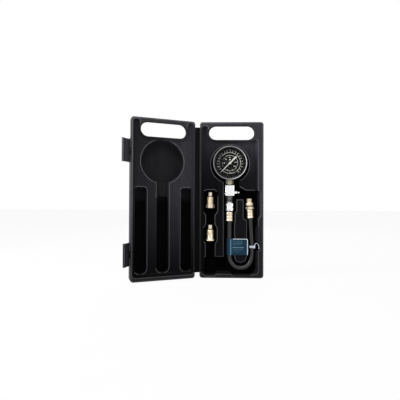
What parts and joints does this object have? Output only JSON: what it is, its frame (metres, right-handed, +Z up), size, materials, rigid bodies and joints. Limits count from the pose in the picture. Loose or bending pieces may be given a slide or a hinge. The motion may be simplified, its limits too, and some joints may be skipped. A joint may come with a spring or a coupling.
{
  "type": "cased compression tester",
  "caption": "Cylinder compression tester: dial gauge with release valve, quick coupler, hose and screw-in adaptors, fitted in an open black carrying case with snap latches.",
  "frame": {"origin": "middle of the base half's foot, on the plane that the case stands on", "axes": "+Z up along the case's height, -Y out of the case towards the viewer, +X from the hinge to the base's free side"},
  "size_m": [0.2691, 0.0921, 0.311],
  "materials": {
    "case_plastic": "moulded, fine grain",
    "latch_plastic": "satin",
    "gauge_black": "satin black",
    "dial_black": "matt black with pale print",
    "pointer_white": "matt white",
    "lens_clear": "clear",
    "movement_brass": "turned",
    "warm_nickel": "satin warm nickel plate",
    "bright_chrome": "bright",
    "steel": "bare",
    "seal_rubber": "matt",
    "hose_rubber": "smooth satin",
    "label_film": "satin film",
    "tie_nylon": "translucent nylon"
  },
  "bodies": {
    "base": {"case_base": "case_plastic", "gauge_case": "gauge_black", "gauge_bezel": "gauge_black", "gauge_dial": "dial_black", "gauge_lens": "lens_clear", "movement_front_plate": "movement_brass", "movement_back_plate": "movement_brass", "bourdon_tube": "movement_brass", "tube_end_block": "movement_brass", "gauge_socket": "warm_nickel", "hose_ferrule_gauge_end": "warm_nickel", "hose_ferrule_engine_end": "warm_nickel", "engine_fitting": "warm_nickel", "adaptor_long": "warm_nickel", "adaptor_short": "warm_nickel", "valve_block": "bright_chrome", "valve_housing": "bright_chrome", "dial_screw_left": "steel", "dial_screw_right": "steel", "movement_pillar_left": "steel", "movement_pillar_right": "steel", "hairspring": "steel", "case_screw_left": "steel", "case_screw_right": "steel", "release_spring": "steel", "coupler_plug": "steel", "coupler_body": "steel", "coupler_ball_1": "steel", "coupler_ball_2": "steel", "coupler_ball_3": "steel", "coupler_ball_4": "steel", "sleeve_spring": "steel", "lens_gasket": "seal_rubber", "fitting_o_ring": "seal_rubber", "adaptor_long_o_ring": "seal_rubber", "adaptor_short_o_ring": "seal_rubber", "hose": "hose_rubber", "hose_label": "label_film", "hose_tie": "tie_nylon"},
    "strap": {"hinge_strap": "case_plastic"},
    "lid": {"case_lid": "case_plastic", "latch_pin_upper": "steel", "latch_pin_lower": "steel"},
    "latch_upper": {"latch_upper": "latch_plastic"},
    "latch_lower": {"latch_lower": "latch_plastic"},
    "sector": {"sector_gear": "movement_brass"},
    "pointer": {"gauge_pointer": "pointer_white", "pinion_arbor": "movement_brass"},
    "link": {"movement_link": "movement_brass"},
    "button": {"release_button": "bright_chrome"},
    "sleeve": {"coupler_sleeve": "bright_chrome"},
    "check_pin": {"check_valve_pin": "steel"}
  },
  "joints": [
    {"name": "spine_hinge", "type": "hinge", "parent": "base", "child": "strap", "pos_m": [-0.0647, -0.01225, 0.1555], "axis": [0, 0, 1], "range_deg": [-10.75, 79.25]},
    {"name": "lid_hinge", "type": "hinge", "parent": "strap", "child": "lid", "pos_m": [-0.07246, -0.01372, 0.1555], "axis": [0, 0, 1], "range_deg": [-10.75, 79.25]},
    {"name": "latch_upper_hinge", "type": "hinge", "parent": "lid", "child": "latch_upper", "pos_m": [-0.19581, -0.05774, 0.247], "axis": [0, 0, 1], "range_deg": [-96, 54]},
    {"name": "latch_lower_hinge", "type": "hinge", "parent": "lid", "child": "latch_lower", "pos_m": [-0.19581, -0.05774, 0.052], "axis": [0, 0, 1], "range_deg": [-108, 42]},
    {"name": "sector_hinge", "type": "hinge", "parent": "base", "child": "sector", "pos_m": [0.0075, -0.0083, 0.21613], "axis": [0, 1, 0], "range_deg": [-38.5, 0], "stiffness_Nm_per_rad": 0.01},
    {"name": "pointer_hinge", "type": "hinge", "parent": "base", "child": "pointer", "pos_m": [-0.0033, -0.012, 0.229], "axis": [0, 1, 0], "range_deg": [0, 270]},
    {"name": "link_hinge", "type": "hinge", "parent": "sector", "child": "link", "pos_m": [0.01502, -0.0097, 0.21339], "axis": [0, 1, 0], "range_deg": [0, 38.6]},
    {"name": "button_slide", "type": "slide", "parent": "base", "child": "button", "axis": [-1, 0, 0], "range_m": [0, 0.0008], "stiffness_N_per_m": 300, "springref_m": -0.001},
    {"name": "sleeve_slide", "type": "slide", "parent": "base", "child": "sleeve", "axis": [0, 0, -1], "range_m": [0, 0.003], "stiffness_N_per_m": 500, "springref_m": -0.002, "deforming": ["sleeve_spring"]},
    {"name": "check_pin_slide", "type": "slide", "parent": "base", "child": "check_pin", "axis": [0.0611, 0, -0.9981], "range_m": [0, 0.0012], "stiffness_N_per_m": 200, "springref_m": -0.001}
  ],
  "couplings": [
    {"joint": "lid_hinge", "follows": "spine_hinge", "ratio": 1},
    {"joint": "pointer_hinge", "follows": "sector_hinge", "ratio": -7},
    {"joint": "link_hinge", "follows": "sector_hinge", "ratio": -1}
  ]
}
